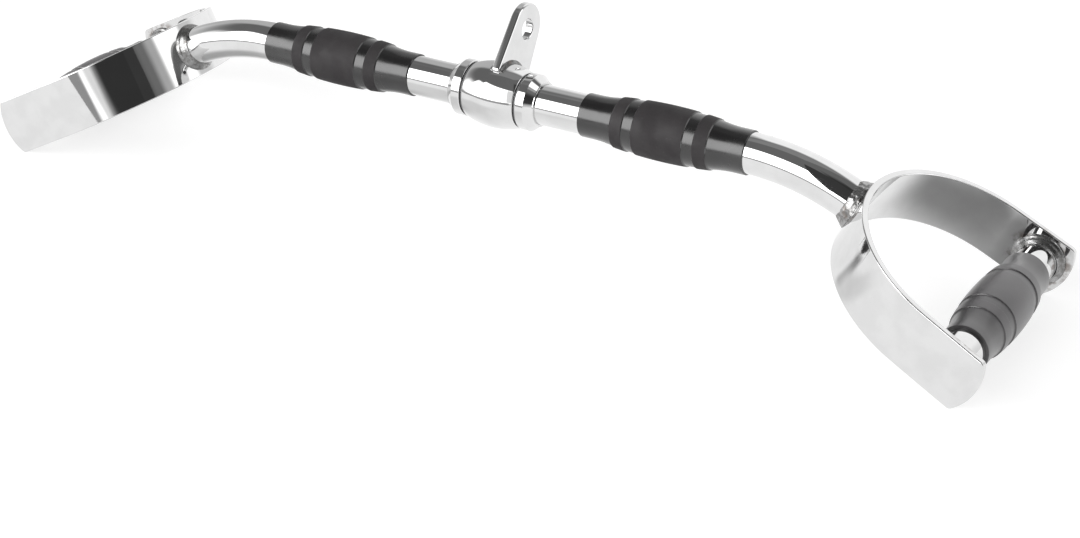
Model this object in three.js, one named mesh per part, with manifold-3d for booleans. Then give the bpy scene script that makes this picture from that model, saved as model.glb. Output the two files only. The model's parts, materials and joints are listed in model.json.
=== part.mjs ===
// Lat pulldown bar: a tube bent at both ends, a revolving hanger in its middle, rubber grips,
// and at each end a strap stirrup with a parallel hand grip. Millimetres, +Z up, +X along the bar.
// The bar lies on the ends of its four stirrup arms, and the origin is on that surface.
import * as THREE from 'three';
import { mergeVertices } from 'three/addons/utils/BufferGeometryUtils.js';
import Module from 'manifold-3d';

const wasm = await Module();
wasm.setup();

// Main bar
const barDiameter = 28;
const barWall = 3;
const bendStart = 188;
const bendRadius = 168;
const bendAngle = THREE.MathUtils.degToRad(27.5);

// Clearances
const seatGap = 0.3;
const runningGap = 0.3;
const cutOverrun = 3;

// Bar grips and handle grips
const gripStart = 68;
const gripLength = 121.5;
const gripBellyDiameter = 38.5;
const gripEndDiameter = 30;
const gripBandRise = 0.75;
const gripBandStep = 0.5;
const gripNeckRise = 0.4;
const handleGripLength = 112;
const handleGripBellyDiameter = 40.6;
const handleGripEndDiameter = 32.4;

// Hanger: sleeve, bushes, collars
const sleeveLength = 40.4;
const sleeveEndDiameter = 39;
const sleeveBellyDiameter = 46.4;
const sleeveEdgeRound = 0.8;
const bushWall = 2;
const bushLength = 15;
const bushFlangeThickness = 1.2;
const bushFlangeDiameter = 37.4;
const collarLength = 12.4;
const collarDiameter = 39.4;
const collarEdgeRound = 0.8;
const collarNoseDiameter = 31;
const collarNoseLength = 0.8;
const collarTaperLength = 5.2;
const screwDiameter = 6;
const screwLength = 4.6;
const screwSocketWidth = 3;
const screwSocketDepth = 2.4;
const screwTurn = THREE.MathUtils.degToRad(130);

// Hanger lug
const lugThickness = 6;
const lugEyeHeight = 48.4;
const lugEyeDiameter = 14.5;
const lugHeadRadius = 18;
const lugFootHeight = 12;
const lugOffset = 2;
const lugLean = THREE.MathUtils.degToRad(35.5);
const lugWeldLeg = 4;
const lugPrepDepth = 1.2;

// Stirrups
const strapWidth = 41.5;
const strapThickness = 4.5;
const strapRadius = 84;
const tipReach = 22;
const tipRadius = 36;
const tipCornerRadius = 3.5;
const armSplay = THREE.MathUtils.degToRad(3.6);
const handleReach = 108.5;
const handleDiameter = 28;
const handleWall = 3;
const handleWeldLeg = 4.5;
const strapWeldLeg = 6;

// Numbers of sides and steps
const barSides = 28;
const boreSides = 20;
const bendSteps = 8;
const gripSides = 30;
const turnedSides = 38;
const beadSides = 28;
const beadSteps = 3;
const strapSteps = 26;
const cornerSteps = 4;
const tipSteps = 8;
const headSteps = 28;
const socketSides = 6;

// Places that follow from the sizes
const barRadius = barDiameter / 2;
const strapApexX = bendStart + bendRadius * Math.sin(bendAngle);
const strapApexDrop = bendRadius * (1 - Math.cos(bendAngle));
const handleDrop = strapApexDrop + handleReach * Math.sin(bendAngle);
const cornerAcross = strapWidth / 2 - tipCornerRadius;
const tipCentreBeyond = tipReach - tipRadius;
const cornerBeyond = tipCentreBeyond + Math.sqrt((tipRadius - tipCornerRadius) ** 2 - cornerAcross ** 2);
const tipDrop = cornerBeyond * Math.sin(bendAngle) + cornerAcross * Math.cos(bendAngle) + tipCornerRadius;
const barHeight = handleDrop + tipDrop;
const armInnerHalf = strapRadius * Math.cos(armSplay)
  + (handleReach - strapRadius * (1 - Math.sin(armSplay))) * Math.tan(armSplay)
  - strapThickness / Math.cos(armSplay);

// Finishes
const chrome = { color: 0xd6d7da, roughness: 0.12, metalness: 1 };
const chromeBar = { color: 0xcfd0d3, roughness: 0.16, metalness: 1 };
const weldSteel = { color: 0xa9a49c, roughness: 0.42, metalness: 1 };
const rubber = { color: 0x2f2e30, roughness: 0.72, metalness: 0 };
const nylon = { color: 0x4a4a4c, roughness: 0.5, metalness: 0 };
const blackSteel = { color: 0x29292b, roughness: 0.4, metalness: 1 };

function solidOf(geometry) {
  const bare = geometry.clone();
  bare.deleteAttribute('normal');
  bare.deleteAttribute('uv');
  const merged = mergeVertices(bare);
  const mesh = new wasm.Mesh({
    numProp: 3,
    vertProperties: new Float32Array(merged.attributes.position.array),
    triVerts: new Uint32Array(merged.index.array),
  });
  return new wasm.Manifold(mesh);
}

function geometryOf(solid) {
  const mesh = solid.getMesh();
  const geometry = new THREE.BufferGeometry();
  geometry.setAttribute('position', new THREE.BufferAttribute(new Float32Array(mesh.vertProperties), 3));
  geometry.setIndex(new THREE.BufferAttribute(new Uint32Array(mesh.triVerts), 1));
  const flat = geometry.toNonIndexed();
  flat.computeVertexNormals();
  return flat;
}

function named(name, geometry, finish) {
  const mesh = new THREE.Mesh(geometry, new THREE.MeshStandardMaterial(finish));
  mesh.name = name;
  return mesh;
}

// Points of a circle, anticlockwise
function circlePoints(radius, count) {
  const points = [];
  for (let i = 0; i < count; i += 1) {
    const angle = i / count * 2 * Math.PI;
    points.push(new THREE.Vector2(radius * Math.cos(angle), radius * Math.sin(angle)));
  }
  return points;
}

// Points of an arc about a centre, ends included
function arcPoints(centre, radius, from, to, steps) {
  const points = [];
  for (let i = 0; i <= steps; i += 1) {
    const angle = from + (to - from) * i / steps;
    points.push(new THREE.Vector2(centre.x + radius * Math.cos(angle), centre.y + radius * Math.sin(angle)));
  }
  return points;
}

// A closed outline of (radius, place along X) turned about the X axis
function turnedAlongX(outline, sides) {
  const closed = [...outline, outline[0].clone()];
  return new THREE.LatheGeometry(closed, sides).rotateZ(-Math.PI / 2);
}

// The same outline turned about the Y axis
function turnedAlongY(outline, sides) {
  return new THREE.LatheGeometry([...outline, outline[0].clone()], sides);
}

function mirroredOutline(half) {
  const lower = half.map((point) => new THREE.Vector2(point.x, -point.y)).reverse();
  return [...lower, ...half];
}

// Centre line of the main bar: straight, with one downward bend at each end
class BarCentreLine extends THREE.Curve {
  constructor() {
    super();
    this.points = [];
    this.tangents = [];
    this.addEnd(-1);
    this.addEnd(1);
  }

  addEnd(side) {
    const stations = [];
    for (let i = 0; i <= bendSteps; i += 1) {
      const angle = bendAngle * i / bendSteps;
      stations.push({ angle, run: 0 });
    }
    stations.push({ angle: bendAngle, run: strapThickness + cutOverrun });
    if (side < 0) {
      stations.reverse();
    }
    for (const { angle, run } of stations) {
      const x = bendStart + bendRadius * Math.sin(angle) + run * Math.cos(angle);
      const z = -bendRadius * (1 - Math.cos(angle)) - run * Math.sin(angle);
      this.points.push(new THREE.Vector3(side * x, 0, z));
      this.tangents.push(new THREE.Vector3(Math.cos(angle), 0, -side * Math.sin(angle)));
    }
  }

  getPointAt(share) {
    return this.points[Math.round(share * (this.points.length - 1))].clone();
  }

  getTangentAt(share) {
    return this.tangents[Math.round(share * (this.tangents.length - 1))].clone();
  }
}

// A frame at the middle of a strap's outer face: X along the stirrup, Y across it, Z over the strap's width
function stirrupMatrix(side) {
  const matrix = new THREE.Matrix4().makeRotationZ(side > 0 ? 0 : Math.PI);
  matrix.multiply(new THREE.Matrix4().makeTranslation(strapApexX, 0, -strapApexDrop));
  return matrix.multiply(new THREE.Matrix4().makeRotationY(bendAngle));
}

// The round outer face of a strap, grown by the seat gap, as a cutter for what is welded to it
function strapCope() {
  const radius = strapRadius + seatGap;
  const cutter = new THREE.CylinderGeometry(radius, radius, strapWidth * 2, strapSteps * 4);
  return cutter.rotateX(Math.PI / 2).translate(strapRadius, 0, 0);
}

function mainBar() {
  const section = new THREE.Shape(circlePoints(barRadius, barSides));
  section.holes.push(new THREE.Path(circlePoints(barRadius - barWall, boreSides)));
  const line = new BarCentreLine();
  const tube = new THREE.ExtrudeGeometry(section, { steps: line.points.length - 1, extrudePath: line });
  let solid = solidOf(tube);
  for (const side of [-1, 1]) {
    solid = solid.subtract(solidOf(strapCope().applyMatrix4(stirrupMatrix(side))));
  }
  return named('main_bar', geometryOf(solid), chromeBar);
}

// Weld bead round the bar where it meets the strap
function strapWeld(name) {
  const inner = barRadius + seatGap;
  const bead = arcPoints(new THREE.Vector2(inner, 0), strapWeldLeg, -Math.PI / 2, 0, beadSteps);
  const outline = [
    ...bead,
    new THREE.Vector2(inner + strapWeldLeg, strapThickness),
    new THREE.Vector2(inner, strapThickness),
  ];
  const solid = solidOf(turnedAlongX(outline, beadSides)).subtract(solidOf(strapCope()));
  return named(name, geometryOf(solid), weldSteel);
}

// Edge-on outline of the strap: a round bow with two splayed arms
function strapOutline(inset, reach) {
  const turn = Math.PI / 2 - armSplay;
  const centre = new THREE.Vector2(strapRadius, 0);
  const bow = arcPoints(centre, strapRadius - inset, Math.PI + turn, Math.PI - turn, strapSteps);
  const end = bow[bow.length - 1];
  const arm = (reach - end.x) / Math.cos(armSplay);
  const tip = new THREE.Vector2(reach, end.y + arm * Math.sin(armSplay));
  return [new THREE.Vector2(reach, -tip.y), ...bow, tip];
}

// End of an arm seen on its flat side: two small round corners with a shallow arc between them
function tipOutline() {
  const turn = Math.atan2(cornerAcross, cornerBeyond - tipCentreBeyond);
  const centre = new THREE.Vector2(handleReach + tipCentreBeyond, 0);
  const lower = new THREE.Vector2(handleReach + cornerBeyond, -cornerAcross);
  const upper = new THREE.Vector2(handleReach + cornerBeyond, cornerAcross);
  return [
    ...arcPoints(lower, tipCornerRadius, -Math.PI / 2, -turn, cornerSteps),
    ...arcPoints(centre, tipRadius, -turn, turn, tipSteps).slice(1, -1),
    ...arcPoints(upper, tipCornerRadius, turn, Math.PI / 2, cornerSteps),
  ];
}

function stirrupStrap(name) {
  const reach = handleReach + tipReach + cutOverrun;
  const outer = strapOutline(0, reach);
  const inner = strapOutline(strapThickness, reach);
  const shape = new THREE.Shape([...outer, ...inner.reverse()]);
  const strap = new THREE.ExtrudeGeometry(shape, { depth: strapWidth, bevelEnabled: false });
  strap.translate(0, 0, -strapWidth / 2);
  const flatSide = new THREE.Shape([
    new THREE.Vector2(-cutOverrun, -strapWidth / 2 - cutOverrun),
    new THREE.Vector2(handleReach + cornerBeyond, -strapWidth / 2 - cutOverrun),
    ...tipOutline(),
    new THREE.Vector2(handleReach + cornerBeyond, strapWidth / 2 + cutOverrun),
    new THREE.Vector2(-cutOverrun, strapWidth / 2 + cutOverrun),
  ]);
  const span = 2 * (strapRadius + handleReach);
  const ends = new THREE.ExtrudeGeometry(flatSide, { depth: span, bevelEnabled: false });
  ends.translate(0, 0, -span / 2).rotateX(Math.PI / 2);
  return named(name, geometryOf(solidOf(strap).intersect(solidOf(ends))), chrome);
}

// The room between the two arms, less the seat gap, which trims what is welded between them
function roomBetweenArms() {
  const near = handleReach - strapWidth;
  const far = handleReach + strapWidth;
  const faceGap = seatGap / Math.cos(armSplay);
  const halfAt = (place) => armInnerHalf + (place - handleReach) * Math.tan(armSplay) - faceGap;
  const shape = new THREE.Shape([
    new THREE.Vector2(near, -halfAt(near)),
    new THREE.Vector2(far, -halfAt(far)),
    new THREE.Vector2(far, halfAt(far)),
    new THREE.Vector2(near, halfAt(near)),
  ]);
  const room = new THREE.ExtrudeGeometry(shape, { depth: 2 * strapWidth, bevelEnabled: false });
  return room.translate(-handleReach, 0, -strapWidth);
}

function handleTube(name) {
  const half = armInnerHalf + cutOverrun;
  const outline = [
    new THREE.Vector2(handleDiameter / 2, -half),
    new THREE.Vector2(handleDiameter / 2, half),
    new THREE.Vector2(handleDiameter / 2 - handleWall, half),
    new THREE.Vector2(handleDiameter / 2 - handleWall, -half),
  ];
  const solid = solidOf(turnedAlongY(outline, barSides)).intersect(solidOf(roomBetweenArms()));
  return named(name, geometryOf(solid), chromeBar);
}

// Weld bead in the corner of a handle tube and an arm, on the side that sign names
function handleWeld(name, sign) {
  const inner = handleDiameter / 2 + seatGap;
  const corner = new THREE.Vector2(inner, armInnerHalf - seatGap);
  const bead = arcPoints(corner, handleWeldLeg, -Math.PI / 2, 0, beadSteps);
  const outline = [
    ...bead,
    new THREE.Vector2(inner + handleWeldLeg, armInnerHalf + cutOverrun),
    new THREE.Vector2(inner, armInnerHalf + cutOverrun),
  ];
  const ring = turnedAlongY(outline, beadSides);
  if (sign < 0) {
    ring.rotateX(Math.PI);
  }
  return named(name, geometryOf(solidOf(ring).intersect(solidOf(roomBetweenArms()))), weldSteel);
}

// Where the bands of a moulded grip and its neck end, in shares of its half length
const gripShares = {
  mainMiddle: 0.16, mainEnd: 0.303, grooveEnd: 0.427, bandEnd: 0.58,
  neckMiddle: 0.72, bellyEnd: 0.79, neckEnd: 0.82,
};

// A moulded grip: a bellied middle with matt bands that stand proud of smooth grooves, and slim plain ends
function gripOutline({ length, bellyDiameter, endDiameter, boreRadius }) {
  const half = length / 2;
  const endRadius = endDiameter / 2;
  const smoothBelly = bellyDiameter / 2 - gripBandRise;
  const bellyHalf = half * gripShares.bellyEnd;
  const smooth = (y) => smoothBelly - (smoothBelly - endRadius) * (y / bellyHalf) ** 2;
  const band = (y) => smooth(y) + gripBandRise;
  const mainEnd = half * gripShares.mainEnd;
  const grooveEnd = half * gripShares.grooveEnd;
  const bandEnd = half * gripShares.bandEnd;
  const middle = half * gripShares.mainMiddle;
  const profile = [
    [band(middle), middle],
    [band(mainEnd), mainEnd],
    [smooth(mainEnd + gripBandStep), mainEnd + gripBandStep],
    [smooth(grooveEnd), grooveEnd],
    [band(grooveEnd + gripBandStep), grooveEnd + gripBandStep],
    [band(bandEnd), bandEnd],
    [smooth(bandEnd + gripBandStep), bandEnd + gripBandStep],
    [endRadius + gripNeckRise, half * gripShares.neckMiddle],
    [endRadius, half * gripShares.neckEnd],
    [endRadius, half],
    [boreRadius, half],
  ];
  return mirroredOutline(profile.map(([radius, y]) => new THREE.Vector2(radius, y)));
}

function barGrip(name, side) {
  const outline = gripOutline({
    length: gripLength,
    bellyDiameter: gripBellyDiameter,
    endDiameter: gripEndDiameter,
    boreRadius: barRadius + seatGap,
  });
  const mesh = named(name, turnedAlongX(outline, gripSides), rubber);
  mesh.position.x = side * (gripStart + gripLength / 2);
  return mesh;
}

function handleGrip(name) {
  const outline = gripOutline({
    length: handleGripLength,
    bellyDiameter: handleGripBellyDiameter,
    endDiameter: handleGripEndDiameter,
    boreRadius: handleDiameter / 2 + seatGap,
  });
  return named(name, turnedAlongY(outline, gripSides), rubber);
}

// Crowned outside of the sleeve: its radius at a place along the bar
function sleeveRadiusAt(x) {
  const rise = (sleeveBellyDiameter - sleeveEndDiameter) / 2;
  return sleeveBellyDiameter / 2 - rise * (2 * x / sleeveLength) ** 2;
}

// Where the sleeve's crown is sampled, in shares of its half length
const sleeveShares = [0.1, 0.4, 0.7];

// Outside of one half of the sleeve, from its middle to its end face, grown by a clearance
function sleeveSkin(growth) {
  const half = sleeveLength / 2;
  const crown = sleeveShares.map((share) => share * half);
  const edge = half - sleeveEdgeRound;
  return [
    ...crown.map((x) => new THREE.Vector2(sleeveRadiusAt(x) + growth, x)),
    new THREE.Vector2(sleeveRadiusAt(edge) + growth, edge),
    new THREE.Vector2(sleeveRadiusAt(edge) + growth - sleeveEdgeRound, half),
  ];
}

function hangerSleeve() {
  const bore = barRadius + runningGap + bushWall + seatGap;
  const half = [...sleeveSkin(0), new THREE.Vector2(bore, sleeveLength / 2)];
  return named('hanger_sleeve', turnedAlongX(mirroredOutline(half), turnedSides), chrome);
}

function hangerBush(name, side) {
  const inner = barRadius + runningGap;
  const outer = inner + bushWall;
  const face = sleeveLength / 2 + seatGap;
  const outline = [
    new THREE.Vector2(inner, sleeveLength / 2 - bushLength),
    new THREE.Vector2(outer, sleeveLength / 2 - bushLength),
    new THREE.Vector2(outer, face),
    new THREE.Vector2(bushFlangeDiameter / 2, face),
    new THREE.Vector2(bushFlangeDiameter / 2, face + bushFlangeThickness),
    new THREE.Vector2(inner, face + bushFlangeThickness),
  ];
  const mesh = named(name, turnedAlongX(outline, turnedSides), nylon);
  mesh.rotation.z = side > 0 ? 0 : Math.PI;
  return mesh;
}

const collarStart = sleeveLength / 2 + seatGap + bushFlangeThickness + runningGap;
const screwPlace = collarStart + (collarLength - collarTaperLength - collarNoseLength) / 2;

function collar(name, side) {
  const inner = barRadius + seatGap;
  const outer = collarDiameter / 2;
  const end = collarStart + collarLength;
  const outline = [
    new THREE.Vector2(inner, collarStart),
    new THREE.Vector2(outer - collarEdgeRound, collarStart),
    new THREE.Vector2(outer, collarStart + collarEdgeRound),
    new THREE.Vector2(outer, end - collarNoseLength - collarTaperLength),
    new THREE.Vector2(collarNoseDiameter / 2, end - collarNoseLength),
    new THREE.Vector2(collarNoseDiameter / 2, end),
    new THREE.Vector2(inner, end),
  ];
  const ring = turnedAlongX(outline, turnedSides).rotateZ(side > 0 ? 0 : Math.PI);
  const radius = screwDiameter / 2 + seatGap;
  const hole = new THREE.CylinderGeometry(radius, radius, collarDiameter, beadSides);
  hole.rotateX(Math.PI / 2).translate(side * screwPlace, 0, collarDiameter / 2);
  hole.rotateX(-screwTurn);
  return named(name, geometryOf(solidOf(ring).subtract(solidOf(hole))), chrome);
}

function collarScrew(name, side) {
  const radius = screwDiameter / 2;
  const shank = new THREE.CylinderGeometry(radius, radius, screwLength, beadSides);
  const socketRadius = screwSocketWidth / 2 / Math.cos(Math.PI / socketSides);
  const socket = new THREE.CylinderGeometry(socketRadius, socketRadius, 2 * screwSocketDepth, socketSides);
  socket.translate(0, screwLength / 2, 0);
  const geometry = geometryOf(solidOf(shank).subtract(solidOf(socket)));
  geometry.rotateX(Math.PI / 2);
  geometry.translate(side * screwPlace, 0, barRadius + seatGap + screwLength / 2);
  geometry.rotateX(-screwTurn);
  return named(name, geometry, blackSteel);
}

// Teardrop face of the lug: its sides run from the sleeve's width to the round head about the eye
function lugFace() {
  const footRadius = sleeveBellyDiameter / 2;
  const lean = Math.asin((footRadius - lugHeadRadius) / lugEyeHeight);
  const sideAt = (height) => (footRadius - height * Math.sin(lean)) / Math.cos(lean);
  const eye = new THREE.Vector2(0, lugEyeHeight);
  const head = arcPoints(eye, lugHeadRadius, lean, Math.PI - lean, headSteps);
  return new THREE.Shape([
    new THREE.Vector2(-sideAt(lugFootHeight), lugFootHeight),
    new THREE.Vector2(sideAt(lugFootHeight), lugFootHeight),
    ...head,
  ]);
}

// The lug's face drawing has its width first and its height second: it stands across the bar
function standAcross(geometry) {
  return geometry.rotateX(Math.PI / 2).rotateZ(Math.PI / 2);
}

function hangerLug() {
  const face = lugFace();
  const eye = circlePoints(lugEyeDiameter / 2, beadSides);
  face.holes.push(new THREE.Path(eye.map((point) => new THREE.Vector2(point.x, point.y + lugEyeHeight))));
  const plate = standAcross(new THREE.ExtrudeGeometry(face, { depth: lugThickness, bevelEnabled: false }));
  plate.translate(lugOffset - lugThickness / 2, 0, 0);
  const skin = [...sleeveSkin(seatGap), new THREE.Vector2(0, sleeveLength / 2)];
  const saddle = turnedAlongX(mirroredOutline(skin), turnedSides);
  let solid = solidOf(plate).subtract(solidOf(saddle));
  for (const side of [-1, 1]) {
    solid = solid.subtract(solidOf(weldBevel(side)));
  }
  return named('hanger_lug', geometryOf(solid), chrome);
}

// Place along the bar of a face of the lug
function lugFacePlace(side) {
  return lugOffset + side * lugThickness / 2;
}

// Bevel along the lug's foot that the weld fills: it ends above the weld, so the face over it is bare
function weldBevel(side) {
  const face = lugFacePlace(side);
  const top = sleeveBellyDiameter / 2 + seatGap + lugWeldLeg + seatGap;
  const foot = top - lugWeldLeg - cutOverrun;
  const slope = lugPrepDepth / lugWeldLeg;
  const outline = [
    new THREE.Vector2(foot, face - side * slope * (top - foot)),
    new THREE.Vector2(top, face),
    new THREE.Vector2(top, face + side * cutOverrun),
    new THREE.Vector2(foot, face + side * cutOverrun),
  ];
  if (side < 0) {
    outline.reverse();
  }
  return turnedAlongX(outline, turnedSides);
}

// Fillet weld along one face of the lug, on the sleeve
function lugWeld(name, side) {
  const near = lugFacePlace(side) + side * seatGap;
  const root = near - side * lugPrepDepth;
  const far = near + side * lugWeldLeg;
  const seat = (x) => sleeveRadiusAt(x) + seatGap;
  const outline = [
    new THREE.Vector2(seat(root), root),
    new THREE.Vector2(seat(far), far),
    new THREE.Vector2(seat(near) + lugWeldLeg / 2, near + side * lugWeldLeg / 2),
    new THREE.Vector2(seat(near) + lugWeldLeg, near),
  ];
  if (side > 0) {
    outline.reverse();
  }
  const ring = solidOf(turnedAlongX(outline, turnedSides));
  const plank = new THREE.ExtrudeGeometry(lugFace(), { depth: sleeveLength, bevelEnabled: false });
  const trim = standAcross(plank).translate(-sleeveLength / 2, 0, 0);
  return named(name, geometryOf(ring.intersect(solidOf(trim))), weldSteel);
}

function hanger() {
  const group = new THREE.Group();
  group.add(hangerSleeve(), hangerLug());
  for (const [word, side] of [['left', -1], ['right', 1]]) {
    group.add(hangerBush(`hanger_bush_${word}`, side), lugWeld(`lug_weld_${word}`, side));
  }
  group.rotation.x = -lugLean;
  return group;
}

function stirrup(word, side) {
  const group = new THREE.Group();
  const handle = new THREE.Group();
  handle.position.x = handleReach;
  handle.add(handleTube(`handle_tube_${word}`), handleGrip(`handle_grip_${word}`));
  handle.add(handleWeld(`handle_weld_${word}_front`, -side), handleWeld(`handle_weld_${word}_back`, side));
  group.add(stirrupStrap(`stirrup_strap_${word}`), strapWeld(`strap_weld_${word}`), handle);
  group.applyMatrix4(stirrupMatrix(side));
  return group;
}

const latBar = new THREE.Group();
latBar.add(mainBar(), hanger());
for (const [word, side] of [['left', -1], ['right', 1]]) {
  latBar.add(barGrip(`bar_grip_${word}`, side), collar(`collar_${word}`, side));
  latBar.add(collarScrew(`collar_screw_${word}`, side), stirrup(word, side));
}
latBar.position.z = barHeight;

export default latBar;
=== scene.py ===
# Looks of the lat pulldown bar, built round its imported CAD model. Metres, in the CAD's own frame.
import json
import math

import bpy
from mathutils import Matrix, Vector


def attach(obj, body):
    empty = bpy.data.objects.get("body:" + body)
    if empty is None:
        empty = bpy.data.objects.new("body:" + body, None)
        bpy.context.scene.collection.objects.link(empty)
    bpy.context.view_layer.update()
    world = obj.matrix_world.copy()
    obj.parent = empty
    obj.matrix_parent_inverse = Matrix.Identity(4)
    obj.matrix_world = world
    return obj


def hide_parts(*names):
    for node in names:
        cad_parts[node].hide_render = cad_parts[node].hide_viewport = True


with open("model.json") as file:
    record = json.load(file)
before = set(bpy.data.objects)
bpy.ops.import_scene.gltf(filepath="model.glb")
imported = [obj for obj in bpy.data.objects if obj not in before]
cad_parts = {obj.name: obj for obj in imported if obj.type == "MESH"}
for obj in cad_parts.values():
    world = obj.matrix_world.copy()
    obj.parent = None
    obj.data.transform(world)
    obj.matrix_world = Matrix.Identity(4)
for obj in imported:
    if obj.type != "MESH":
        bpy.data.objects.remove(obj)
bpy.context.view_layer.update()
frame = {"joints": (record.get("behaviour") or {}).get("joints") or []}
print("frame loaded")

# Sizes that several pieces share, as the CAD has them
shared = {
    "tubeRadius": 0.014,
    "tubeWall": 0.003,
    "bendStart": 0.188,
    "bendRadius": 0.168,
    "bendAngle": math.radians(27.5),
    "hangerLean": math.radians(35.5),
    "strapRadius": 0.084,
    "strapWidth": 0.0415,
    "strapThickness": 0.0045,
    "armSplay": math.radians(3.6),
    "handleReach": 0.1085,
    "tipReach": 0.0217,  # 0.3 mm less than the CAD's, to stay inside its facets
    "tipRadius": 0.036,
    "tipCorner": 0.0035,
    "gap": 0.0003,
    "merge": 2e-6,  # points closer than this become one
    "near": 1e-5,  # margin when points are picked by their place or mirrored
}

barHeight = frame["joints"][0]["pos_m"][2]
apexX = shared["bendStart"] + shared["bendRadius"] * math.sin(shared["bendAngle"])
apexDrop = shared["bendRadius"] * (1 - math.cos(shared["bendAngle"]))
# half of the way between the inner faces of a stirrup's arms, at the handle's axis
armInnerHalf = (shared["strapRadius"] * math.cos(shared["armSplay"])
                + (shared["handleReach"] - shared["strapRadius"] * (1 - math.sin(shared["armSplay"])))
                * math.tan(shared["armSplay"]) - shared["strapThickness"] / math.cos(shared["armSplay"]))
barFrame = Matrix.Translation((0, 0, barHeight))
hangerFrame = barFrame @ Matrix.Rotation(-shared["hangerLean"], 4, "X")
alongX = Matrix.Rotation(math.pi / 2, 4, "Y")
alongY = Matrix.Rotation(-math.pi / 2, 4, "X")
sides = {"left": -1, "right": 1}


def facing(side):
    # the left half is the right one turned half round
    return Matrix.Rotation(0 if side > 0 else math.pi, 4, "Z")


def stirrupFrame(side):
    # origin on the strap's outer face where the bar meets it, X towards the handle, Y along the handle
    apex = Matrix.Translation((apexX, 0, -apexDrop))
    return barFrame @ facing(side) @ apex @ Matrix.Rotation(shared["bendAngle"], 4, "Y")


# Modelling steps that many pieces use
def clearSelection():
    if bpy.context.mode != "OBJECT":
        bpy.ops.object.mode_set(mode="OBJECT")
    bpy.ops.object.select_all(action="DESELECT")


def editMode():
    bpy.ops.object.mode_set(mode="EDIT")


def objectMode():
    bpy.ops.object.mode_set(mode="OBJECT")


def mergeVerts():
    bpy.ops.mesh.select_all(action="SELECT")
    bpy.ops.mesh.remove_doubles(threshold=shared["merge"])


def pickVerts(obj, test):
    bpy.ops.mesh.select_mode(type="VERT")
    bpy.ops.mesh.select_all(action="DESELECT")
    objectMode()
    for vert in obj.data.vertices:
        vert.select = test(vert.co)
    editMode()


def startPoint(name, place):
    clearSelection()
    bpy.ops.mesh.primitive_plane_add(size=0.01)
    obj = bpy.context.object
    obj.name = name
    editMode()
    bpy.ops.mesh.merge(type="CENTER")
    bpy.ops.transform.translate(value=place)
    return obj


def extendPoint(step):
    bpy.ops.mesh.extrude_vertices_move(TRANSFORM_OT_translate={"value": step})


def closeUp():
    mergeVerts()
    bpy.ops.mesh.normals_make_consistent(inside=False)


def softened(profile, steps=4):
    # corners of a profile of (radius, place, rounding) turned into small arcs
    points = []
    count = len(profile)
    for i, (radius, place, rounding) in enumerate(profile):
        here = Vector((radius, place))
        before, after = profile[i - 1], profile[(i + 1) % count]
        toBefore = Vector(before[:2]) - here
        toAfter = Vector(after[:2]) - here
        if not rounding:
            points.append(here)
            continue
        angle = toBefore.angle(toAfter)
        most = 0.49  # of a side, so that the arcs at its two ends don't meet
        reach = min(rounding / math.tan(angle / 2), toBefore.length * most, toAfter.length * most)
        start = here + toBefore.normalized() * reach
        end = here + toAfter.normalized() * reach
        for k in range(steps + 1):
            share = k / steps
            points.append(start * (1 - share) ** 2 + here * 2 * share * (1 - share) + end * share ** 2)
    return points


def turnProfile(name, profile, turns, angle=2 * math.pi):
    # a closed profile of (radius, place, rounding) spun about Z
    points = softened(profile)
    obj = startPoint(name, (points[0].x, 0, points[0].y))
    for before, after in zip(points, points[1:] + points[:1]):
        extendPoint((after.x - before.x, 0, after.y - before.y))
    mergeVerts()
    bpy.ops.mesh.select_all(action="SELECT")
    bpy.ops.mesh.spin(steps=turns, angle=angle, center=(0, 0, 0), axis=(0, 0, 1))
    if angle < 2 * math.pi:
        bpy.ops.mesh.select_all(action="SELECT")
        bpy.ops.mesh.fill_holes(sides=0)
    closeUp()
    objectMode()
    return obj


def makeActive(obj):
    clearSelection()
    obj.select_set(True)
    bpy.context.view_layer.objects.active = obj


def placeIn(obj, matrix):
    makeActive(obj)
    obj.matrix_world = matrix @ obj.matrix_world
    bpy.ops.object.transform_apply(location=True, rotation=True, scale=True)


def useModifier(obj, kind, **settings):
    modifier = obj.modifiers.new(kind.title(), kind)
    for key, value in settings.items():
        setattr(modifier, key, value)
    makeActive(obj)
    bpy.ops.object.modifier_apply(modifier=modifier.name)


def roundEdges(obj, width, steps):
    sharp = math.radians(50)
    useModifier(obj, "BEVEL", width=width, segments=steps, limit_method="ANGLE", angle_limit=sharp)


def cutAway(obj, cutter):
    useModifier(obj, "BOOLEAN", operation="DIFFERENCE", object=cutter, solver="EXACT")
    bpy.data.objects.remove(cutter)


def addRod(vertices, radius, depth, **placing):
    clearSelection()
    bpy.ops.mesh.primitive_cylinder_add(vertices=vertices, radius=radius, depth=depth, **placing)
    return bpy.context.object


def strapBowCutter(frameOfStrap, growth):
    # the round outside of a strap as a cylinder, to cut what meets it
    cutter = addRod(vertices=256, radius=shared["strapRadius"] + growth, depth=0.2)
    placeIn(cutter, frameOfStrap @ Matrix.Translation((shared["strapRadius"], 0, 0)))
    return cutter


def finishPiece(obj, name, body, nodes, materials, smoothAngle=30):
    makeActive(obj)
    obj.name = name
    obj.data.name = name
    bpy.ops.object.shade_smooth_by_angle(angle=math.radians(smoothAngle))
    useModifier(obj, "WEIGHTED_NORMAL", keep_sharp=True)
    obj.data.materials.clear()
    for material in materials:
        obj.data.materials.append(material)
    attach(obj, body)
    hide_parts(*nodes)


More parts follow.
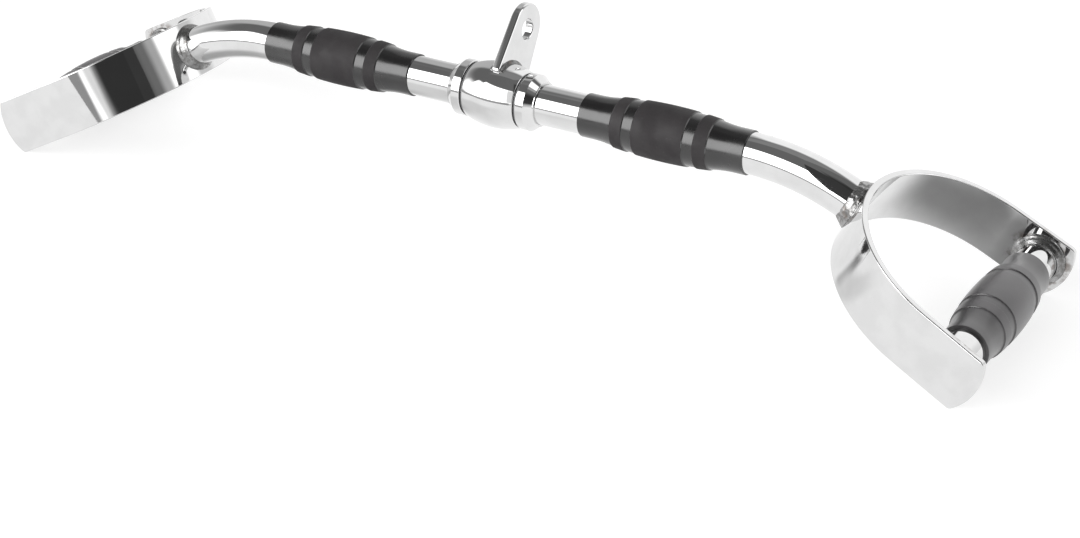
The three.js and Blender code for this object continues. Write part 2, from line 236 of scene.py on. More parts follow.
# Shader sums: a wire stands for a socket's value
class Wire:
    def __init__(self, tree, socket):
        self.tree = tree
        self.socket = socket

    def math(self, operation, first, second=0.0):
        values = {0: first, 1: second}
        node = addNode(self.tree, "Math", {"operation": operation}, values)
        return Wire(self.tree, node.outputs[0])

    def __add__(self, other):
        return self.math("ADD", self, other)

    def __radd__(self, other):
        return self.math("ADD", other, self)

    def __sub__(self, other):
        return self.math("SUBTRACT", self, other)

    def __rsub__(self, other):
        return self.math("SUBTRACT", other, self)

    def __mul__(self, other):
        return self.math("MULTIPLY", self, other)

    def __rmul__(self, other):
        return self.math("MULTIPLY", other, self)


def addNode(tree, kind, settings, values):
    node = tree.nodes.new("ShaderNode" + kind)
    for key, value in settings.items():
        setattr(node, key, value)
    for key, value in values.items():
        if isinstance(value, Wire):
            tree.links.new(value.socket, node.inputs[key])
        else:
            node.inputs[key].default_value = value
    return node


def grey(level, warmth=0.0):
    return (level * (1 + warmth), level, level * (1 - warmth), 1)


def placeOf(tree, kind="Object"):
    return Wire(tree, addNode(tree, "TexCoord", {}, {}).outputs[kind])


def startMaterial(name, constants):
    material = bpy.data.materials.new(name)
    material.use_nodes = True
    tree = material.node_tree
    shader = tree.nodes["Principled BSDF"]
    for key, value in constants.items():
        shader.inputs[key].default_value = value
    return material, tree, shader, placeOf(tree)


even = (1, 1, 1)  # the stretch of a noise that is alike in all directions


def noiseOf(tree, place, stretch, scale, detail, roughness=0.5):
    mapped = addNode(tree, "Mapping", {}, {"Vector": place, "Scale": stretch})
    values = {"Vector": Wire(tree, mapped.outputs[0]), "Scale": scale}
    node = addNode(tree, "TexNoise", {}, dict(values, Detail=detail, Roughness=roughness))
    return Wire(tree, node.outputs["Fac"])


def rangeOf(tree, wire, low, high, outLow, outHigh):
    values = {"Value": wire, "From Min": low, "From Max": high, "To Min": outLow, "To Max": outHigh}
    node = addNode(tree, "MapRange", {"interpolation_type": "SMOOTHSTEP"}, values)
    return Wire(tree, node.outputs[0])


def mixColour(tree, factor, first, second):
    node = addNode(tree, "Mix", {"data_type": "RGBA"}, {"Factor": factor, 6: first, 7: second})
    return Wire(tree, node.outputs[2])


def bumpOf(tree, height, distance, normal=None):
    values = {"Height": height, "Distance": distance, "Strength": 1.0}
    if normal:
        values["Normal"] = normal
    node = addNode(tree, "Bump", {}, values)
    return Wire(tree, node.outputs[0])


def link(tree, shader, values):
    for key, wire in values.items():
        tree.links.new(wire.socket, shader.inputs[key])


# Finishes
chromeLook = {
    "tint": grey(0.74),
    "shade": grey(0.7),
    "roughness": (0.03, 0.06),
    "cloudScale": 60,  # soft clouds that vary the colour and the polish
    "cloudTint": (0.35, 0.65),
    "cloudPolish": (0.4, 0.7),
    "lineScale": 900,  # draw lines or lathe rings
    "lineDepth": 0.000002,
    "lineRange": (0.55, 0.8),
    "lineRoughness": 0.02,
    "waveScale": 22,  # slow waves of the surface
    "waveDepth": 0.00012,
}


def chromeMaterial(name, stretch, look):
    material, tree, shader, place = startMaterial(name, {"Metallic": 1.0})
    lines = noiseOf(tree, place, stretch, look["lineScale"], detail=2.0)
    wave = noiseOf(tree, place, even, look["waveScale"], detail=1.0)
    cloud = noiseOf(tree, place, even, look["cloudScale"], detail=4.0)
    colour = mixColour(tree, rangeOf(tree, cloud, *look["cloudTint"], 0, 1), look["tint"], look["shade"])
    rough = rangeOf(tree, cloud, *look["cloudPolish"], *look["roughness"])
    rough = rough + rangeOf(tree, lines, *look["lineRange"], 0, look["lineRoughness"])
    normal = bumpOf(tree, wave, look["waveDepth"])
    normal = bumpOf(tree, lines, look["lineDepth"], normal)
    link(tree, shader, {"Base Color": colour, "Roughness": rough, "Normal": normal})
    return material


heatTint = {
    "colour": (0.16, 0.12, 0.10, 1),
    "reach": (0.019, 0.025),  # from the handle's axis, where it starts to fade and ends
    "depth": (0.0018, 0.003),  # into the arm, so that the outer face stays clean
    "patchScale": 110,
    "patchRange": (0.42, 0.62),
    "strength": 0.75,
}


def addHeatTint(material):
    # brown soot on the inside of the arms round the handle's welds
    tree = material.node_tree
    shader = tree.nodes["Principled BSDF"]
    place = placeOf(tree)
    folded = addNode(tree, "VectorMath", {"operation": "ABSOLUTE"}, {0: place})
    folded = Wire(tree, folded.outputs[0])
    reach = shared["handleReach"]
    spot = (apexX + reach * math.cos(shared["bendAngle"]), armInnerHalf,
            barHeight - apexDrop - reach * math.sin(shared["bendAngle"]))
    away = addNode(tree, "VectorMath", {"operation": "DISTANCE"}, {0: folded, 1: spot}).outputs["Value"]
    depth = addNode(tree, "SeparateXYZ", {}, {0: folded}).outputs["Y"]
    near = rangeOf(tree, Wire(tree, away), *heatTint["reach"], 1, 0)
    start, end = heatTint["depth"]
    near = near * rangeOf(tree, Wire(tree, depth), armInnerHalf + start, armInnerHalf + end, 1, 0)
    patches = noiseOf(tree, place, even, heatTint["patchScale"], detail=4.0, roughness=0.6)
    patches = rangeOf(tree, patches, *heatTint["patchRange"], 0, heatTint["strength"])
    clean = Wire(tree, shader.inputs["Base Color"].links[0].from_socket)
    link(tree, shader, {"Base Color": mixColour(tree, near * patches, clean, heatTint["colour"])})


tubeChrome = chromeMaterial("tubeChrome", (0.02, 1, 1), chromeLook)
strapChrome = chromeMaterial("strapChrome", even, dict(chromeLook, waveDepth=0.0003, waveScale=16))
addHeatTint(strapChrome)
hangerChrome = chromeMaterial("hangerChrome", (1, 0.02, 0.02), dict(chromeLook, lineScale=1400))
lugChrome = chromeMaterial("lugChrome", even, chromeLook)
blackLook = dict(chromeLook, tint=grey(0.05), shade=grey(0.035), roughness=(0.3, 0.4))
screwBlack = chromeMaterial("screwBlack", even, blackLook)

weldLook = {
    "spotScale": 260,
    "spotRange": (0.4, 0.62),
    "spotDepth": 0.00008,
    "roughRange": (0.35, 0.7),
    "roughness": (0.22, 0.42),
    "sootScale": 90,
    "sootRange": (0.6, 0.72),
    "sootStrength": 0.7,
    "soot": (0.2, 0.15, 0.12, 1),
}


def weldMaterial(name, clean, dull):
    look = weldLook
    material, tree, shader, place = startMaterial(name, {"Metallic": 1.0})
    spots = noiseOf(tree, place, even, look["spotScale"], detail=5.0, roughness=0.7)
    soot = noiseOf(tree, place, even, look["sootScale"], detail=4.0, roughness=0.6)
    metal = mixColour(tree, rangeOf(tree, spots, *look["spotRange"], 0, 1), grey(clean), grey(dull, 0.02))
    sooted = rangeOf(tree, soot, *look["sootRange"], 0, look["sootStrength"])
    rough = rangeOf(tree, spots, *look["roughRange"], *look["roughness"])
    wires = {"Base Color": mixColour(tree, sooted, metal, look["soot"]), "Roughness": rough,
             "Normal": bumpOf(tree, spots, look["spotDepth"])}
    link(tree, shader, wires)
    return material


rubberNoise = {
    "patchScale": 45,
    "patchRange": (0.3, 0.7),
    "roughRange": (0.35, 0.7),
    "dustScale": 420,
    "dustRange": (0.62, 0.8),
    "dustColour": grey(0.3),
}


def rubberMaterial(name, look):
    constants = {"Specular IOR Level": look["specular"], "Coat Roughness": look["coatRoughness"]}
    material, tree, shader, place = startMaterial(name, constants)
    grain = noiseOf(tree, place, even, look["grainScale"], detail=2.0, roughness=0.7)
    patch = noiseOf(tree, place, even, rubberNoise["patchScale"], detail=4.0, roughness=0.6)
    dust = noiseOf(tree, place, even, rubberNoise["dustScale"], detail=3.0, roughness=0.8)
    mottled = rangeOf(tree, patch, *rubberNoise["patchRange"], 0, 1)
    colour = mixColour(tree, mottled, look["colour"], look["shade"])
    dusty = rangeOf(tree, dust, *rubberNoise["dustRange"], 0, look["dust"])
    colour = mixColour(tree, dusty, colour, rubberNoise["dustColour"])
    rough = rangeOf(tree, patch, *rubberNoise["roughRange"], *look["roughness"])
    coat = rangeOf(tree, patch, *rubberNoise["patchRange"], *look["coat"])
    normal = bumpOf(tree, grain, look["grainDepth"])
    wires = {"Base Color": colour, "Roughness": rough, "Coat Weight": coat, "Normal": normal}
    link(tree, shader, wires)
    return material


weldBead = weldMaterial("weldBead", 0.38, 0.2)
# the lug's beads: duller weld metal, made darker still as painted shade of the crease at the lug's foot
lugBeadPaintedShade = weldMaterial("lugBeadPaintedShade", 0.2, 0.1)
gripMatt = rubberMaterial("gripMatt", {
    "colour": (0.034, 0.0305, 0.032, 1), "shade": (0.027, 0.024, 0.0255, 1), "roughness": (0.62, 0.78),
    "specular": 0.42, "coat": (0, 0), "coatRoughness": 0.4, "grainScale": 1500, "grainDepth": 0.00012,
    "dust": 0.12,
})
gripSmooth = rubberMaterial("gripSmooth", {
    "colour": (0.007, 0.0064, 0.0067, 1), "shade": (0.005, 0.0046, 0.0048, 1), "roughness": (0.2, 0.3),
    "specular": 0.8, "coat": (0.2, 0.4), "coatRoughness": 0.2, "grainScale": 500, "grainDepth": 0.00002,
    "dust": 0.06,
})
# lighter copies of the grip rubber for the handle grips: their paler colour is painted light, the sheen of
# the bright surroundings above them
handleMattPaintedSheen = rubberMaterial("handleMattPaintedSheen", {
    "colour": (0.056, 0.05, 0.055, 1), "shade": (0.04, 0.036, 0.04, 1), "roughness": (0.4, 0.52),
    "specular": 1.0, "coat": (0.5, 0.8), "coatRoughness": 0.32, "grainScale": 1500, "grainDepth": 0.00006,
    "dust": 0.12,
})
handleSmoothPaintedSheen = rubberMaterial("handleSmoothPaintedSheen", {
    "colour": (0.04, 0.036, 0.039, 1), "shade": (0.03, 0.027, 0.029, 1), "roughness": (0.34, 0.45),
    "specular": 1.0, "coat": (0.5, 0.8), "coatRoughness": 0.28, "grainScale": 500, "grainDepth": 0.00003,
    "dust": 0.1,
})
bushNylon = rubberMaterial("bushNylon", {
    "colour": (0.13, 0.13, 0.132, 1), "shade": (0.11, 0.11, 0.112, 1), "roughness": (0.4, 0.5),
    "specular": 0.5, "coat": (0, 0), "coatRoughness": 0.3, "grainScale": 900, "grainDepth": 0.00003,
    "dust": 0.05,
})
print("finishes made")

# Main tube: half of it is drawn along the bar and round the bend, and mirrored
mainTube = {"turns": 112, "straightSteps": 4, "bendSteps": 36, "intoStrap": 0.004}


def makeMainBar():
    clearSelection()
    bpy.ops.mesh.primitive_circle_add(vertices=mainTube["turns"], radius=shared["tubeRadius"],
                                      rotation=(0, math.pi / 2, 0))
    obj = bpy.context.object
    editMode()
    bpy.ops.mesh.select_all(action="SELECT")
    for _ in range(mainTube["straightSteps"]):
        step = (shared["bendStart"] / mainTube["straightSteps"], 0, 0)
        bpy.ops.mesh.extrude_edges_move(TRANSFORM_OT_translate={"value": step})
    centre = (shared["bendStart"], 0, -shared["bendRadius"])
    bpy.ops.mesh.spin(steps=mainTube["bendSteps"], angle=-shared["bendAngle"], center=centre, axis=(0, 1, 0))
    run = shared["strapThickness"] + mainTube["intoStrap"]
    step = (run * math.cos(shared["bendAngle"]), 0, -run * math.sin(shared["bendAngle"]))
    bpy.ops.mesh.extrude_edges_move(TRANSFORM_OT_translate={"value": step})
    closeUp()
    objectMode()
    placeIn(obj, barFrame)
    useModifier(obj, "MIRROR", use_axis=(True, False, False), merge_threshold=shared["near"])
    useModifier(obj, "SOLIDIFY", thickness=shared["tubeWall"], offset=-1)
    for side in sides.values():
        cutAway(obj, strapBowCutter(stirrupFrame(side), shared["gap"]))
    finishPiece(obj, "mainBarTube", "bar", ["main_bar"], [tubeChrome])


# Strap stirrups, bent from flat bar
strap = {"bowSteps": 40, "cornerSteps": 12, "tipSteps": 32, "edgeRound": 0.0008, "edgeSteps": 4,
         "smoothAngle": 40}


def makeStrap(word, side):
    half = shared["strapWidth"] / 2
    splay = shared["armSplay"]
    obj = startPoint("strap", (0, 0, -half))
    extendPoint((0, 0, 2 * half))
    bpy.ops.mesh.select_all(action="SELECT")
    centre = (shared["strapRadius"], 0, 0)
    bpy.ops.mesh.spin(steps=strap["bowSteps"], angle=math.pi / 2 - splay, center=centre, axis=(0, 0, 1))
    bowEnd = shared["strapRadius"] * (1 - math.sin(splay))
    bowSide = shared["strapRadius"] * math.cos(splay)
    across = half - shared["tipCorner"]
    centreAlong = shared["tipReach"] - shared["tipRadius"]
    cornerAlong = centreAlong + math.sqrt((shared["tipRadius"] - shared["tipCorner"]) ** 2 - across ** 2)

    def onArm(along, z):
        # a place on the arm's outer face, measured along it from the handle's axis
        x = shared["handleReach"] + along * math.cos(splay)
        return (x, bowSide + (x - bowEnd) * math.tan(splay), z)

    armEnd = onArm(cornerAlong, 0)
    step = (armEnd[0] - bowEnd, armEnd[1] - bowSide, 0)
    bpy.ops.mesh.extrude_edges_move(TRANSFORM_OT_translate={"value": step})
    pickVerts(obj, lambda co: co.x > armEnd[0] - shared["near"] and co.z < 0)
    outward = (-math.sin(splay), math.cos(splay), 0)
    turn = math.atan2(across, cornerAlong - centreAlong)
    for centre, steps, angle in ((onArm(cornerAlong, -across), strap["cornerSteps"], math.pi / 2 - turn),
                                 (onArm(centreAlong, 0), strap["tipSteps"], 2 * turn),
                                 (onArm(cornerAlong, across), strap["cornerSteps"], math.pi / 2 - turn)):
        bpy.ops.mesh.spin(steps=steps, angle=angle, center=centre, axis=outward)
    mergeVerts()
    pickVerts(obj, lambda co: co.x > armEnd[0] - shared["near"])
    bpy.ops.mesh.edge_face_add()
    closeUp()
    objectMode()
    useModifier(obj, "MIRROR", use_axis=(False, True, False), merge_threshold=shared["near"])
    editMode()
    closeUp()
    objectMode()
    useModifier(obj, "SOLIDIFY", thickness=shared["strapThickness"], offset=-1, use_even_offset=True)
    roundEdges(obj, strap["edgeRound"], strap["edgeSteps"])
    placeIn(obj, stirrupFrame(side))
    finishPiece(obj, f"strap_{word}", "bar", [f"stirrup_strap_{word}"], [strapChrome],
                strap["smoothAngle"])


# Moulded grips: matt bands that stand proud of smooth grooves and ends
grip = {
    "turns": 112,
    "bandRise": 0.00075,
    "bandStep": 0.0005,
    "neckRise": 0.0004,
    "shares": {  # of the grip's half length, from its middle
        "mainEnd": 0.303, "grooveEnd": 0.427, "bandEnd": 0.58,
        "neckMiddle": 0.72, "bellyEnd": 0.79, "neckEnd": 0.82,
    },
    "corner": 0.0003,  # rounding of the bands' edges
    "neckCorner": 0.08,  # so large that the neck is one long curve
    "endCorner": 0.0006,
    "tubeGap": 0.0001,
    "smoothAngle": 25,
    "bar": {"length": 0.1215, "belly": 0.01925, "end": 0.015, "start": 0.068},
    "handle": {"length": 0.112, "belly": 0.0203, "end": 0.0162},
}


def gripProfile(kind):
    half = grip[kind]["length"] / 2
    endRadius = grip[kind]["end"]
    ends = {key: share * half for key, share in grip["shares"].items()}
    base = grip[kind]["belly"] - grip["bandRise"]

    def smooth(y):
        return base - (base - endRadius) * (y / ends["bellyEnd"]) ** 2

    def curve(start, end, rise, steps):
        places = [start + (end - start) * k / steps for k in range(steps + 1)]
        return [(smooth(y) + rise, y, 0) for y in places]

    def edge(start, end, riseBefore, riseAfter):
        places = ((start, riseBefore), (end, riseAfter))
        return [(smooth(y) + rise, y, grip["corner"]) for y, rise in places]

    step = grip["bandStep"]
    rise = grip["bandRise"]
    groove, band, neck = ends["mainEnd"], ends["grooveEnd"], ends["bandEnd"]
    upper = curve(0, groove - step, rise, 6) + edge(groove, groove + step, rise, 0)
    upper += curve(groove + 2 * step, band - step, 0, 3) + edge(band, band + step, 0, rise)
    upper += curve(band + 2 * step, neck - step, rise, 4) + edge(neck, neck + step, rise, 0)
    upper += [(endRadius + grip["neckRise"], ends["neckMiddle"], grip["neckCorner"]),
              (endRadius, ends["neckEnd"], grip["neckCorner"]), (endRadius, half, grip["endCorner"]),
              (shared["tubeRadius"] + grip["tubeGap"], half, 0)]
    lower = [(radius, -y, rounding) for radius, y, rounding in upper[1:]]
    return lower[::-1] + upper, ends


def makeGrip(name, kind, matrix, node):
    profile, ends = gripProfile(kind)
    # the handle grips take the lighter rubber copies, whose paler colour is painted sheen
    materials = [gripMatt, gripSmooth] if kind == "bar" else [handleMattPaintedSheen, handleSmoothPaintedSheen]
    obj = turnProfile("grip", profile, grip["turns"])
    slots = []
    for face in obj.data.polygons:
        y = abs(face.center.z)
        band = y < ends["mainEnd"] or ends["grooveEnd"] + grip["bandStep"] / 2 < y < ends["bandEnd"]
        slots.append(0 if band else 1)
    placeIn(obj, matrix)
    finishPiece(obj, name, "bar", [node], materials, grip["smoothAngle"])
    for face, index in zip(obj.data.polygons, slots):
        face.material_index = index


# Handle tubes between the arms, made a little too long and trimmed by the arms' splayed faces
handle = {"turns": 96, "spare": 0.002}


def trimByArm(obj, end):
    # cuts off what reaches past the inner face of the arm at that end, with a large box
    reach = 0.1
    clearSelection()
    bpy.ops.mesh.primitive_cube_add(size=reach, location=(0, end * reach / 2, 0))
    cutter = bpy.context.object
    face = Matrix.Translation((0, end * (armInnerHalf - shared["gap"] / 3), 0))
    placeIn(cutter, face @ Matrix.Rotation(end * shared["armSplay"], 4, "Z"))
    cutAway(obj, cutter)


def handlePlace(side):
    return stirrupFrame(side) @ Matrix.Translation((shared["handleReach"], 0, 0))


def makeHandleTube(word, side):
    half = armInnerHalf + handle["spare"]
    outer, inner = shared["tubeRadius"], shared["tubeRadius"] - shared["tubeWall"]
    profile = [(outer, -half, 0), (outer, half, 0), (inner, half, 0), (inner, -half, 0)]
    obj = turnProfile("tube", profile, handle["turns"])
    placeIn(obj, alongY)
    for end in (-1, 1):
        trimByArm(obj, end)
    placeIn(obj, handlePlace(side))
    finishPiece(obj, f"handleTube_{word}", "bar", [f"handle_tube_{word}"], [tubeChrome])


# Weld beads: turned profiles of (radius, place, rounding), then made uneven
weld = {
    "turns": 120,
    "voxel": 0.0003,
    "tubeGap": 0.00003,
    "strapGap": 0.0001,
    "smoothAngle": 60,
    "strap": [(0.0137, -0.0077, 0), (0.0142, -0.0074, 0), (0.0158, -0.0046, 0.001), (0.0162, -0.0030, 0.0005),
              (0.0173, -0.0017, 0.001), (0.0178, 0.0006, 0), (0.0137, 0.0006, 0)],
    "handle": [(0.0137, -0.0056, 0), (0.0142, -0.0053, 0), (0.0160, -0.0036, 0.0008),
               (0.0168, -0.0025, 0.0004), (0.0181, -0.0015, 0.0008), (0.0188, 0.0008, 0),
               (0.0137, 0.0008, 0)],
    "lug": [(0.0222, -0.0004, 0), (0.0222, 0.0026, 0), (0.0230, 0.0026, 0.0002), (0.0240, 0.0013, 0.0012),
            (0.0252, 0.0004, 0.0003), (0.0252, -0.0004, 0)],
    "lugSpread": math.radians(118),
    "lumps": {  # height and size: the strap welds go by their side
        "left": (0.0005, 0.006), "right": (0.0011, 0.003), "handle": (0.0005, 0.005), "lug": (0.00025, 0.004),
    },
}


def makeUneven(obj, kind):
    useModifier(obj, "REMESH", mode="VOXEL", voxel_size=weld["voxel"])
    useModifier(obj, "SMOOTH", factor=0.5, iterations=3)
    height, scale = weld["lumps"][kind]
    lumps = bpy.data.textures.new("lumps", "CLOUDS")
    lumps.noise_scale = scale
    useModifier(obj, "DISPLACE", texture=lumps, texture_coords="LOCAL", strength=height, mid_level=0.5)
    useModifier(obj, "REMESH", mode="VOXEL", voxel_size=weld["voxel"])
    useModifier(obj, "SMOOTH", factor=0.5, iterations=2)


def cutTube(obj):
    cutAway(obj, addRod(vertices=96, radius=shared["tubeRadius"] + weld["tubeGap"], depth=0.1))


def makeStrapWeld(word, side):
    obj = turnProfile("bead", weld["strap"], weld["turns"])
    makeUneven(obj, word)
    cutTube(obj)
    placeIn(obj, alongX)
    for vert in obj.data.vertices:
        # the bead follows the round face of the strap
        vert.co.x += shared["strapRadius"] - math.sqrt(shared["strapRadius"] ** 2 - vert.co.y ** 2)
    cutAway(obj, strapBowCutter(Matrix(), weld["strapGap"]))
    placeIn(obj, stirrupFrame(side))
    finishPiece(obj, f"strapWeld_{word}", "bar", [f"strap_weld_{word}"], [weldBead],
                weld["smoothAngle"])


def makeHandleWelds(word, side):
    for end, place in (("front", -side), ("back", side)):
        obj = turnProfile("bead", weld["handle"], weld["turns"])
        makeUneven(obj, "handle")
        cutTube(obj)
        lean = Matrix.Rotation(shared["armSplay"] * place, 4, "Z")
        turn = alongY if place > 0 else Matrix.Rotation(math.pi / 2, 4, "X")
        placeIn(obj, Matrix.Translation((0, place * armInnerHalf, 0)) @ lean @ turn)
        trimByArm(obj, place)
        placeIn(obj, handlePlace(side))
        finishPiece(obj, f"handleWeld_{word}_{end}", "bar", [f"handle_weld_{word}_{end}"],
                    [weldBead], weld["smoothAngle"])


# Revolving hanger
hub = {
    "sleeveHalf": 0.0202,
    "sleeveEnd": 0.0195,
    "sleeveBelly": 0.0232,
    "bore": 0.0166,
    "bushInner": 0.0143,
    "bushOuter": 0.0163,
    "bushLength": 0.015,
    "flangeRadius": 0.0187,
    "flange": 0.0012,
    "collarStart": 0.0220,
    "collarLength": 0.0124,
    "collarRadius": 0.0197,
    "noseRadius": 0.0155,
    "noseLength": 0.0008,
    "taper": 0.0052,
    "screwRadius": 0.003,
    "screwLength": 0.0046,
    "screwRound": 0.0004,
    "screwTurn": math.radians(130),
    "socketHalf": 0.0015,
    "socketDepth": 0.0024,
    "drillDepth": 0.04,
    "crownSteps": 10,
    "crownEnd": 0.98,  # share of the half length where the sleeve's rounded end takes over
    "crownDrop": 0.0002,  # from the crown there to the corner before it is rounded
    "fineRound": 0.0002,
    "smallRound": 0.0003,
    "noseRound": 0.0004,
    "taperRound": 0.0005,
    "largeRound": 0.0008,
    "turns": 144,
    "bushTurns": 96,
}


def sleeveRadius(place):
    rise = hub["sleeveBelly"] - hub["sleeveEnd"]
    return hub["sleeveBelly"] - rise * (place / hub["sleeveHalf"]) ** 2


def makeSleeve():
    half, steps = hub["sleeveHalf"], hub["crownSteps"]
    crown = [(sleeveRadius(half * k / steps), half * k / steps, 0) for k in range(1 - steps, steps)]
    corner = sleeveRadius(half * hub["crownEnd"]) - hub["crownDrop"]
    profile = [
        (hub["bore"], -half, hub["smallRound"]), (corner, -half, hub["largeRound"]), *crown,
        (corner, half, hub["largeRound"]), (hub["bore"], half, hub["smallRound"]),
    ]
    obj = turnProfile("sleeve", profile, hub["turns"])
    placeIn(obj, hangerFrame @ alongX)
    finishPiece(obj, "hangerSleeve", "hanger", ["hanger_sleeve"], [hangerChrome])


def makeBush(word, side):
    start = hub["sleeveHalf"] - hub["bushLength"]
    end = hub["sleeveHalf"] + shared["gap"]
    fine, small = hub["fineRound"], hub["smallRound"]
    profile = [
        (hub["bushInner"], start, fine), (hub["bushOuter"], start, fine),
        (hub["bushOuter"], end, 0), (hub["flangeRadius"], end, small),
        (hub["flangeRadius"], end + hub["flange"], small), (hub["bushInner"], end + hub["flange"], fine),
    ]
    obj = turnProfile("bush", profile, hub["bushTurns"])
    placeIn(obj, hangerFrame @ facing(side) @ alongX)
    finishPiece(obj, f"hangerBush_{word}", "hanger", [f"hanger_bush_{word}"], [bushNylon])


def screwPlace(side):
    middle = hub["collarStart"] + (hub["collarLength"] - hub["taper"] - hub["noseLength"]) / 2
    turn = Matrix.Rotation(-hub["screwTurn"], 4, "X")
    return barFrame @ turn @ Matrix.Translation((side * middle, 0, 0))


def makeCollar(word, side):
    inner = shared["tubeRadius"] + shared["gap"] / 3
    start = hub["collarStart"]
    end = start + hub["collarLength"]
    nose = end - hub["noseLength"]
    profile = [
        (inner, start, hub["fineRound"]), (hub["collarRadius"], start, hub["largeRound"]),
        (hub["collarRadius"], nose - hub["taper"], hub["taperRound"]),
        (hub["noseRadius"], nose, hub["noseRound"]), (hub["noseRadius"], end, hub["smallRound"]),
        (inner, end, 0),
    ]
    obj = turnProfile("collar", profile, hub["turns"])
    placeIn(obj, barFrame @ facing(side) @ alongX)
    depth = hub["drillDepth"]
    drill = addRod(48, hub["screwRadius"] + shared["gap"], depth, location=(0, 0, depth / 2))
    placeIn(drill, screwPlace(side))
    cutAway(obj, drill)
    finishPiece(obj, f"stopCollar_{word}", "bar", [f"collar_{word}"], [hangerChrome])


def makeScrew(word, side):
    bottom = shared["tubeRadius"] + shared["gap"]
    top = bottom + hub["screwLength"]
    obj = addRod(48, hub["screwRadius"], hub["screwLength"], location=(0, 0, (bottom + top) / 2))
    useModifier(obj, "BEVEL", width=hub["screwRound"], segments=3, limit_method="ANGLE")
    socketRadius = hub["socketHalf"] / math.cos(math.pi / 6)  # to the corners of a hexagon
    cutAway(obj, addRod(6, socketRadius, 2 * hub["socketDepth"], location=(0, 0, top)))
    placeIn(obj, screwPlace(side))
    finishPiece(obj, f"collarScrew_{word}", "bar", [f"collar_screw_{word}"], [screwBlack])


# Lug with its eye, which stands up from the sleeve
lug = {
    "thickness": 0.006,
    "eyeHeight": 0.0484,
    "eyeRadius": 0.00725,
    "headRadius": 0.018,
    "footHeight": 0.012,
    "offset": 0.002,
    "edgeRound": 0.0014,
    "edgeSteps": 6,
    "rimRound": 0.001,
    "rimSteps": 5,
    "headSteps": 56,
    "seatGap": 0.0001,
}


def makeLug():
    foot = hub["sleeveBelly"]
    lean = math.asin((foot - lug["headRadius"]) / lug["eyeHeight"])
    wide = (foot - lug["footHeight"] * math.sin(lean)) / math.cos(lean)
    eye = (0, 0, lug["eyeHeight"])
    reach = (lug["headRadius"] * math.cos(lean), lug["eyeHeight"] + lug["headRadius"] * math.sin(lean))
    obj = startPoint("lug", (0, wide, lug["footHeight"]))
    extendPoint((0, reach[0] - wide, reach[1] - lug["footHeight"]))
    bpy.ops.mesh.spin(steps=lug["headSteps"], angle=-(math.pi - 2 * lean), center=eye, axis=(1, 0, 0))
    mergeVerts()
    near = shared["near"]
    pickVerts(obj, lambda co: co.y < -reach[0] + near and co.z < reach[1] + near)
    extendPoint((0, reach[0] - wide, lug["footHeight"] - reach[1]))
    bpy.ops.mesh.select_all(action="SELECT")
    bpy.ops.mesh.edge_face_add()
    bpy.ops.mesh.extrude_region_move(TRANSFORM_OT_translate={"value": (lug["thickness"], 0, 0)})
    closeUp()
    objectMode()
    placeIn(obj, Matrix.Translation((lug["offset"] - lug["thickness"] / 2, 0, 0)))
    roundEdges(obj, lug["edgeRound"], lug["edgeSteps"])
    across = (0, math.pi / 2, 0)
    cutAway(obj, addRod(vertices=96, radius=lug["eyeRadius"], depth=0.03, location=eye, rotation=across))
    roundEdges(obj, lug["rimRound"], lug["rimSteps"])
    saddle = sleeveRadius(lug["offset"]) + lug["seatGap"]
    cutAway(obj, addRod(vertices=180, radius=saddle, depth=0.05, rotation=across))
    placeIn(obj, hangerFrame)
    finishPiece(obj, "hangerLug", "hanger", ["hanger_lug"], [lugChrome])


def makeLugWelds():
    # a bead along the foot of the lug on either face, on the sleeve's crown
    for word, side in sides.items():
        obj = turnProfile("bead", weld["lug"], weld["turns"], weld["lugSpread"])
        makeUneven(obj, "lug")
        upright = Matrix.Rotation(math.pi, 4, "X") @ alongX @ Matrix.Rotation(weld["lugSpread"] / 2, 4, "Z")
        face = lug["offset"] + side * lug["thickness"] / 2
        placeIn(obj, hangerFrame @ Matrix.Translation((face, 0, 0)) @ facing(side) @ upright)
        finishPiece(obj, f"lugWeld_{word}", "hanger", [f"lug_weld_{word}"], [lugBeadPaintedShade],
                    weld["smoothAngle"])


makeMainBar()
print("main tube made")
for word, side in sides.items():
    makeStrap(word, side)
    makeHandleTube(word, side)
    makeStrapWeld(word, side)
    makeHandleWelds(word, side)
    makeGrip(f"handleGrip_{word}", "handle", handlePlace(side) @ alongY, f"handle_grip_{word}")
    middle = side * (grip["bar"]["start"] + grip["bar"]["length"] / 2)
    place = Matrix.Translation((middle, 0, 0))
    makeGrip(f"barGrip_{word}", "bar", barFrame @ place @ alongX, f"bar_grip_{word}")
    makeCollar(word, side)
    makeScrew(word, side)
    makeBush(word, side)
    print(word, "stirrup, grips and collar made")
makeSleeve()
makeLug()
makeLugWelds()
print("hanger made")

# Camera, at the photograph's place: millimetres, metres from the bar's middle, and degrees
view = {
    "lens": 73.449, "sensor": 36, "near": 0.05, "far": 60,
    "x": 0.72533, "y": -1.18982, "z": 0.597837,
    "down": 27.75, "turn": 30.261,
}
camera = bpy.data.cameras.new("camera")
camera.lens = view["lens"]
camera.sensor_width = view["sensor"]
camera.clip_start = view["near"]
camera.clip_end = view["far"]
eye = bpy.data.objects.new("camera", camera)
eye.location = (view["x"], view["y"], barHeight + view["z"])
eye.rotation_euler = (math.radians(90 - view["down"]), 0, math.radians(view["turn"]))
bpy.context.scene.collection.objects.link(eye)
bpy.context.scene.camera = eye
